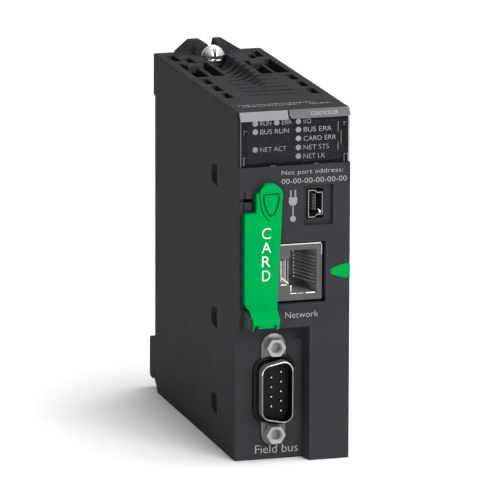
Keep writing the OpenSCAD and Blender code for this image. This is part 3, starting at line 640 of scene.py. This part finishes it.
def nut_rings(x, z):
    """A hexagonal nut: lightly chamfered corners outside, a screw thread inside."""
    flats, front, back = 4.76, 1.2, 4.2
    hole, hole_end, mouth_h = 1.42, 3.75, 0.3
    pitch, groove, n, steps = 0.635, 0.18, 72, 26

    def ring(y, radius_at):
        turns = [2 * math.pi * k / n for k in range(n)]
        return [(x + radius_at(t) * math.cos(t), y, z + radius_at(t) * math.sin(t)) for t in turns]

    def hexagon(y, limit):
        return ring(y, lambda t: min(flats / 2 / math.cos((t % (math.pi / 3)) - math.pi / 6), limit))

    def bore(y):
        def radius_at(t):
            phase = ((y - front) / pitch - t / (2 * math.pi)) % 1
            return hole + groove * (1 - abs(2 * phase - 1))
        return ring(y, radius_at)

    depth = hole_end - front - mouth_h
    inside = [bore(hole_end - depth * k / steps) for k in range(steps + 1)]
    mouth = [circle(x, z, front + mouth_h - 0.06 * k, hole + 0.2 + 0.045 * k, n) for k in range(1, 5)]
    chamfer = [(0.0, 2.58), (0.03, 2.66), (0.08, 2.71), (0.14, 3.0), (back - front, 3.0)]
    outside = [hexagon(front + d, limit) for d, limit in chamfer]
    return tube(inside + mouth + outside, close_first=True)


def make_nuts():
    parts = [nut_rings(SERIAL[0], SERIAL[1] + side * JACK_PITCH / 2) for side in (-1, 1)]
    mesh = smooth(mesh_of("jack_nuts_turned", *merged(parts)), math.radians(24))
    piece("jack_nuts_turned", mesh, "case", "nut_steel", ["jack_nuts"])


# ------------------------------------------------------------ fixing screw

SCREW = (16, 99.2)          # the screw's axis in X and Z
THREAD_Y = (88.95, 92.6)
SCREW_END = 93.0


def thread_ring(y, near_end):
    """The thread's outline at one place along the screw; near_end runs from 0 to 1 as the thread fades in."""
    n, pitch, crest, depth = 48, 0.7, 2.0, 0.38
    ring = []
    for k in range(n):
        t = 2 * math.pi * k / n
        phase = ((y - THREAD_Y[0]) / pitch + t / (2 * math.pi)) % 1
        r = crest - depth * (1 - near_end * min(1.0, 1.25 * (1 - abs(2 * phase - 1))))
        ring.append((SCREW[0] + r * math.cos(t), y, SCREW[1] + r * math.sin(t)))
    return ring


def make_screw():
    """The CAD head and neck with rounded edges, and a real thread behind them."""
    bm = cad_copy("captive_screw")
    start = at(0, THREAD_Y[0] + 0.05, 0).y
    bmesh.ops.delete(bm, geom=[f for f in bm.faces if f.calc_center_median().y > start], context="FACES")
    soften(bm, 0.07, 2, 0.2)
    head = finished("captive_screw_head", bm)
    steps = 44
    rings = [circle(*SCREW, THREAD_Y[0] - 0.02, 1.6)]
    for s in range(steps + 1):
        y = THREAD_Y[0] + (THREAD_Y[1] - THREAD_Y[0]) * s / steps
        rings.append(thread_ring(y, min(1.0, 0.25 + s / 5, 0.25 + (steps - s) / 5)))
    rings += [circle(*SCREW, SCREW_END - 0.15, 1.5), circle(*SCREW, SCREW_END, 1.3)]
    thread = smooth(mesh_of("thread", *tube(rings, close_last=True)), math.radians(40))
    joined = bmesh.new()
    joined.from_mesh(head)
    joined.from_mesh(thread)
    mesh = finished("captive_screw_cut", joined)
    piece("captive_screw_cut", mesh, "screw", "screw_steel", ["captive_screw"])


# ------------------------------------------------------------ card door

def ring_cutter(outline, width, deep, y):
    """A thin closed band that follows an outline, for engraving it."""
    bm = bmesh.new()
    n = len(outline)
    rows = []
    centre = Vector((sum(p[0] for p in outline) / n, sum(p[1] for p in outline) / n))
    for side in (-0.5, 0.5):
        for depth in (-0.3, deep):
            row = []
            for i, p in enumerate(outline):
                before, after = Vector(outline[i - 1]), Vector(outline[(i + 1) % n])
                d = (after - before).normalized()
                normal = Vector((-d.y, d.x))
                if normal.dot(Vector(p) - centre) < 0:
                    normal = -normal
                q = Vector(p) + normal * width * side
                row.append(bm.verts.new(at(q.x, y + depth, q.y)))
            rows.append(row)
    a, b, c, d = rows
    for i in range(n):
        j = (i + 1) % n
        for p, q in ((a, b), (b, d), (d, c), (c, a)):
            bm.faces.new((p[i], p[j], q[j], q[i]))
    bmesh.ops.recalc_face_normals(bm, faces=bm.faces)
    mesh = bpy.data.meshes.new("cutter")
    bm.to_mesh(mesh)
    bm.free()
    cutter = bpy.data.objects.new("cutter", mesh)
    bpy.context.scene.collection.objects.link(cutter)
    return cutter


def strip_cutter(outline, deep, y):
    """A solid strip for engraving an open line."""
    cutter = bpy.data.objects.new("cutter", mesh_of("cutter", *plate(outline, y, 0.3, deep)))
    bpy.context.scene.collection.objects.link(cutter)
    return cutter


def cut_away(obj, cutters):
    """Applies the cutters to the object's mesh, then removes them."""
    for cutter in cutters:
        modifier = obj.modifiers.new("cut", "BOOLEAN")
        modifier.object, modifier.operation, modifier.solver = cutter, "DIFFERENCE", "EXACT"
    dg = bpy.context.evaluated_depsgraph_get()
    mesh = bpy.data.meshes.new_from_object(obj.evaluated_get(dg))
    obj.modifiers.clear()
    obj.data = mesh
    for cutter in cutters:
        bpy.data.objects.remove(cutter)
    return smooth(mesh)


def shield_outline():
    """A rounded triangle that points down."""
    right = [(10.6, 77.35), (10.62, 76.2), (10.45, 74.8), (10.1, 73.5),
             (9.6, 72.4), (9.05, 71.6), (8.4, 71.25)]
    left = [(16.85 - x, z) for x, z in reversed(right[:-1])]
    return right + left


def groove_outline():
    """The long curved groove to the left of the shield, as a slim closed strip."""
    line = [(4.95, 78.2), (4.97, 76.4), (5.1, 74.9), (5.5, 73.2), (6.2, 71.6), (7.0, 70.4), (7.9, 69.6)]
    return line + [(x + 0.26, z + 0.16) for x, z in reversed(line)]


def make_door():
    """The green door: rounded edges, an engraved shield, and a curved groove beside it."""
    deep, shaded_above = 0.45, 69
    bm = cad_copy("card_door")
    soften(bm, 0.42, 4, 0.45)
    mesh = finished("card_door_moulded", bm)
    obj = piece("card_door_moulded", mesh, "door", "green_plastic", ["card_door"])
    shield = ring_cutter(shield_outline(), 0.5, deep, DOOR_Y)
    groove = strip_cutter(groove_outline(), deep, DOOR_Y)
    cut_away(obj, [shield, groove])
    obj.data.materials.append(MATERIALS["green_shade"])
    # Painted shade: the floors of the engraved lines above shaded_above and every left-facing face get the
    # darker green
    for f in obj.data.polygons:
        in_line = abs(f.center.y - at(0, DOOR_Y + deep, 0).y) < 0.05 * MM and f.normal.y < -0.9
        engraved = in_line and f.center.z > at(0, 0, shaded_above).z
        f.material_index = 1 if engraved or f.normal.x < -0.5 else 0
    weighted(obj)


# ------------------------------------------------------------ display

def make_window():
    """The clear cover, with a painted reflection on the bevel along its top, and an inner face just clear of
    the panel.
    """
    bm = cad_copy("display_window")
    soften(bm, 0.1, 1, 0.4)
    gap, bevel_low = 0.06, 97.2
    for v in bm.verts:
        if abs(v.co.y - at(0, PANEL_Y, 0).y) < 0.01 * MM:
            v.co.y -= gap * MM
    bm.normal_update()
    # Painted reflection: the bevel faces that look up and forward get the plain grey second material
    for f in bm.faces:
        near_top = f.calc_center_median().z > at(0, 0, bevel_low).z
        if near_top and f.normal.z > 0.3 and f.normal.y < -0.2:
            f.material_index = 1
    piece("display_cover", finished("display_cover", bm), "case", "clear_cover", ["display_window"],
          [MATERIALS["clear_cover"], MATERIALS["cover_bevel"]])
    # Painted highlights: thin grey strips on the cover where its moulded lines catch the light
    detail("cover_line_highlights", [bar(*mark, 0.0) for mark in COVER_HIGHLIGHT_LINES], "clear_cover", "cover_rib")


# ------------------------------------------------------------ USB and network sockets

USB_MID_Z, USB_PITCH = 73.25, 0.8
JACK_LOW, JACK_HIGH = (10.9, 45.95), (24.2, 62.15)      # corners of the network socket's face
JACK_FRONT, JACK_MID_Z = 1.2, 54.05
WIRES, WIRE_PITCH, WIRE_R = 8, 1.016, 0.2


def make_usb_inside():
    """Contacts painted near-black as painted shade, on a grey tongue, and a bright spring at the socket's lower
    right.
    """
    repainted_node("usb_contacts", "usb_dark")
    repainted_node("usb_tongue", "usb_grey")
    spring = plate([(23.3, 70.5), (23.85, 70.5), (23.85, 71.0), (23.0, 71.7), (23.35, 71.0)], 1.6, 0.2)
    heights = [USB_MID_Z + USB_PITCH * k for k in range(-2, 3)]
    # Painted shade: dark bars across the tongue
    marks = [bar(22.2, z - 0.17, 22.72, z + 0.17, 3.0) for z in heights]
    detail("usb_spring", [spring], "plated_sheet", "wire_tin")
    detail("usb_shade_bars", marks, "gold_contact", "usb_dark")


def make_latch_tabs():
    """Sprung metal tabs in the network socket's notch, and bright strips along its floor lips: painted
    highlights.
    """
    low, high = JACK_MID_Z - 3.5, JACK_MID_Z + 3.5
    tabs = [bar(x0, low + up, x1, high - down, y) for x0, x1, up, down, y in (
        (12.45, 12.95, 0.6, 0.4, 2.4), (13.2, 13.35, 0.6, 0.4, 2.1),
        (13.9, 14.25, 0.4, 0.2, 2.9), (14.55, 14.7, 0.4, 0.2, 2.1))]
    slope = [(12.4, low + 2.0), (12.7, low + 2.0), (14.7, low + 0.4), (14.7, low + 0.05)]
    # Painted highlights: thin bright strips along the floor's lips
    lips = [plate(slope, 1.8), bar(12.3, low - 0.15, 14.0, low + 0.15, 1.25)]
    lips += [bar(x0, JACK_MID_Z + z0, x1, JACK_MID_Z + z1, y) for x0, x1, z0, z1, y in (
        (15.2, 16.9, -6.2, -6.0, 1.25), (15.6, 16.0, -6.0, -4.2, 3.2),
        (17.3, 18.9, -6.2, -6.08, 1.25), (19.6, 22.3, -6.25, -5.95, 1.25))]
    detail("ethernet_latch_tabs", tabs, "tinned_sheet", "mid_tin")
    detail("ethernet_lip_highlights", lips, "tinned_sheet", "edge_shine")


def make_shield():
    """The network socket's tinned sleeve, with thin bright strips that stand for light on two of its edges."""
    softened_node("ethernet_shield", 0.1, 2, 0.25)
    left, (right, top) = JACK_LOW[0], JACK_HIGH
    edges = [bar(left + 0.4, top - 0.32, right - 0.3, top - 0.06, JACK_FRONT),
             bar(right - 0.16, top - 3.6, right - 0.05, top - 0.4, JACK_FRONT)]
    detail("ethernet_edges", edges, "tinned_sheet", "edge_shine")


def wire(path, z, r, n=8):
    """A round wire bent along a path in X and Y at one height."""
    rings = []
    for i, (x, y) in enumerate(path):
        before, after = path[max(i - 1, 0)], path[min(i + 1, len(path) - 1)]
        d = Vector((after[0] - before[0], after[1] - before[1])).normalized()
        turns = [2 * math.pi * k / n for k in range(n)]
        sides = [(r * math.cos(t), r * math.sin(t)) for t in turns]
        rings.append([(x - d.y * across, y + d.x * across, z + rise) for across, rise in sides])
    return tube(rings, True, True)


def make_jack_wires():
    """Eight round spring wires across the network socket's mouth, with ends at the back painted white as
    painted highlights.
    """
    path = [(22.75, 2.65), (22.3, 3.1), (21.5, 5.0), (20.2, 8.4), (19.0, 11.2)]
    heights = [JACK_MID_Z + WIRE_PITCH * (k - (WIRES - 1) / 2) for k in range(WIRES)]
    wires = [wire(path, z, WIRE_R) for z in heights]
    # Painted highlights: white discs on the wires' back ends
    tips = [disc(19.0, z, 0.24, 11.0, 16) for z in heights]
    detail("ethernet_wires", wires, "gold_contact", "wire_tin", nodes=["ethernet_contacts"])
    detail("ethernet_wire_tips", tips, "gold_contact", "pin_tip")


# ------------------------------------------------------------ whole object

def paint_frame():
    """Gives each shown CAD node its procedural material."""
    for node, obj in frame["nodes"].items():
        material = MATERIALS[slot_of(node)]
        if not obj.material_slots:
            obj.data.materials.append(material)
        for s in obj.material_slots:
            s.material = material


def make_object():
    """Paints the frame, then adds the finished pieces that stand for most of its outside."""
    paint_frame()
    softened_node("rear_housing", 0.22, shortest=0.5)
    softened_node("front_bezel", 0.22, shortest=0.5)
    softened_node("label_tab", 0.15)
    softened_node("usb_shell", 0.07, paint="soft_rim")
    make_shield()
    softened_node("ethernet_marker", 0.1)
    softened_node("screw_washer", 0.1)
    make_window()
    make_door()
    make_serial_shell()
    make_serial_pins()
    repainted_node("ethernet_insert", "socket_grey")
    make_usb_inside()
    make_latch_tabs()
    make_nuts()
    make_screw()
    make_jack_wires()
    make_prints()


# ------------------------------------------------------------ floor, light and camera

SKY_TOWARD = (0.4, -0.15, 0.85)
SKY_DARK, SKY_BRIGHT = 0.105, 1.0
# Name, place, target, size and power of each soft light, in metres and watts
LIGHTS = [
    ("key", (0.45, -1.3, 0.7), (0, 0, 0.05), (0.9, 0.9), 20.5),
    ("low", (-0.45, -0.55, 0.06), (-0.01, -0.02, 0.02), (0.3, 0.12), 1.1),
    ("top", (0.4, 0.0, 1.15), (0, 0, 0.05), (0.9, 0.9), 12),
]
CAMERA_PLACE = (-0.48424, -1.64296, 0.44825)
CAMERA_YAW, CAMERA_DOWN, CAMERA_ROLL = math.radians(16.419), math.radians(13.062), 0.0027
CAMERA_LENS, CAMERA_SENSOR = 445.97, 36


def make_floor():
    bpy.ops.mesh.primitive_plane_add(size=14, location=(0, 2, 0))
    floor = bpy.context.object
    floor.name = "floor"
    m = Nodes("floor_paper")
    m.base_colour(m.noise(3, 2), 0.3, 0.7, (0.80, 0.80, 0.80, 1), (0.83, 0.83, 0.83, 1))
    m.set(Roughness=0.9, Specular_IOR_Level=0.1)
    floor.data.materials.append(m.material)


def soft_light(name, place, target, size, power):
    light = bpy.data.lights.new(name, "AREA")
    light.shape, light.size, light.size_y, light.energy = "RECTANGLE", size[0], size[1], power
    obj = bpy.data.objects.new(name, light)
    bpy.context.scene.collection.objects.link(obj)
    obj.location = place
    obj.rotation_mode = "QUATERNION"
    obj.rotation_quaternion = (Vector(target) - Vector(place)).to_track_quat("-Z", "Y")


def make_world():
    """A soft studio dome, brightest overhead to the front right and dark behind to the left."""
    world = bpy.data.worlds.new("studio")
    world.use_nodes = True
    tree = world.node_tree
    place = tree.nodes.new("ShaderNodeTexCoord")
    toward = tree.nodes.new("ShaderNodeVectorMath")
    toward.operation = "DOT_PRODUCT"
    toward.inputs[1].default_value = SKY_TOWARD
    fade = tree.nodes.new("ShaderNodeValToRGB")
    tree.links.new(place.outputs["Generated"], toward.inputs[0])
    tree.links.new(toward.outputs["Value"], fade.inputs["Fac"])
    tree.links.new(fade.outputs["Color"], tree.nodes["Background"].inputs["Color"])
    ends = fade.color_ramp.elements
    ends[0].position, ends[0].color = 0.0, (SKY_DARK, SKY_DARK, SKY_DARK, 1)
    ends[1].position, ends[1].color = 0.8, (SKY_BRIGHT, SKY_BRIGHT, SKY_BRIGHT, 1)
    tree.nodes["Background"].inputs["Strength"].default_value = 1.0
    bpy.context.scene.world = world


def make_lights():
    make_world()
    for values in LIGHTS:
        soft_light(*values)


def make_camera():
    yaw, down, roll = CAMERA_YAW, CAMERA_DOWN, CAMERA_ROLL
    ahead = Vector((math.sin(yaw) * math.cos(down), math.cos(yaw) * math.cos(down), -math.sin(down)))
    level = Vector((math.cos(yaw), -math.sin(yaw), 0))
    upright = level.cross(ahead)
    right = math.cos(roll) * level + math.sin(roll) * upright
    up = -math.sin(roll) * level + math.cos(roll) * upright
    camera = bpy.data.cameras.new("camera")
    camera.lens, camera.sensor_width = CAMERA_LENS, CAMERA_SENSOR
    camera.clip_start, camera.clip_end = 0.05, 40
    obj = bpy.data.objects.new("camera", camera)
    bpy.context.scene.collection.objects.link(obj)
    turn = Matrix((right, up, -ahead)).transposed().to_4x4()
    obj.matrix_world = Matrix.Translation(CAMERA_PLACE) @ turn
    bpy.context.scene.camera = obj
    bpy.context.scene.view_settings.view_transform = "Standard"


def node_bodies():
    bodies = frame["record"]["behaviour"]["bodies"]
    return {node: body for body, nodes in bodies.items() for node in nodes}


SLOT_NODES = {
    "case_plastic": ["rear_housing", "front_bezel"],
    "clear_cover": ["display_window"],
    "black_panel": ["display_mask"],
    "label_plastic": ["label_tab"],
    "light_dot": ["light_pipes"],
    "led_body": ["status_leds"],
    "board": ["display_board", "cpu_board", "io_board", "rear_board"],
    "green_plastic": ["card_door", "ethernet_marker"],
    "card_plastic": ["memory_card"],
    "plated_sheet": ["card_socket", "usb_shell", "serial_shell"],
    "tinned_sheet": ["ethernet_shield"],
    "gold_contact": ["card_contacts", "usb_contacts", "ethernet_contacts", "serial_pins",
                     "backplane_contacts"],
    "black_moulding": ["usb_tongue", "ethernet_insert", "serial_insulator", "backplane_connector"],
    "component_black": ["ethernet_transformer", "processor", "memory_chips", "inductor"],
    "nut_steel": ["jack_nuts"],
    "spacer_brass": ["board_spacers"],
    "link_plastic": ["board_links"],
    "heat_sink_metal": ["heat_sink"],
    "capacitor_can": ["capacitors"],
    "washer_nylon": ["screw_washer"],
    "screw_steel": ["captive_screw"],
}


SLOTS = {node: slot for slot, nodes in SLOT_NODES.items() for node in nodes}
BODY_OF = node_bodies()
MATERIALS = make_materials({**SLOT_LOOKS, **DETAIL_LOOKS})

make_camera()
make_floor()
make_lights()
make_object()
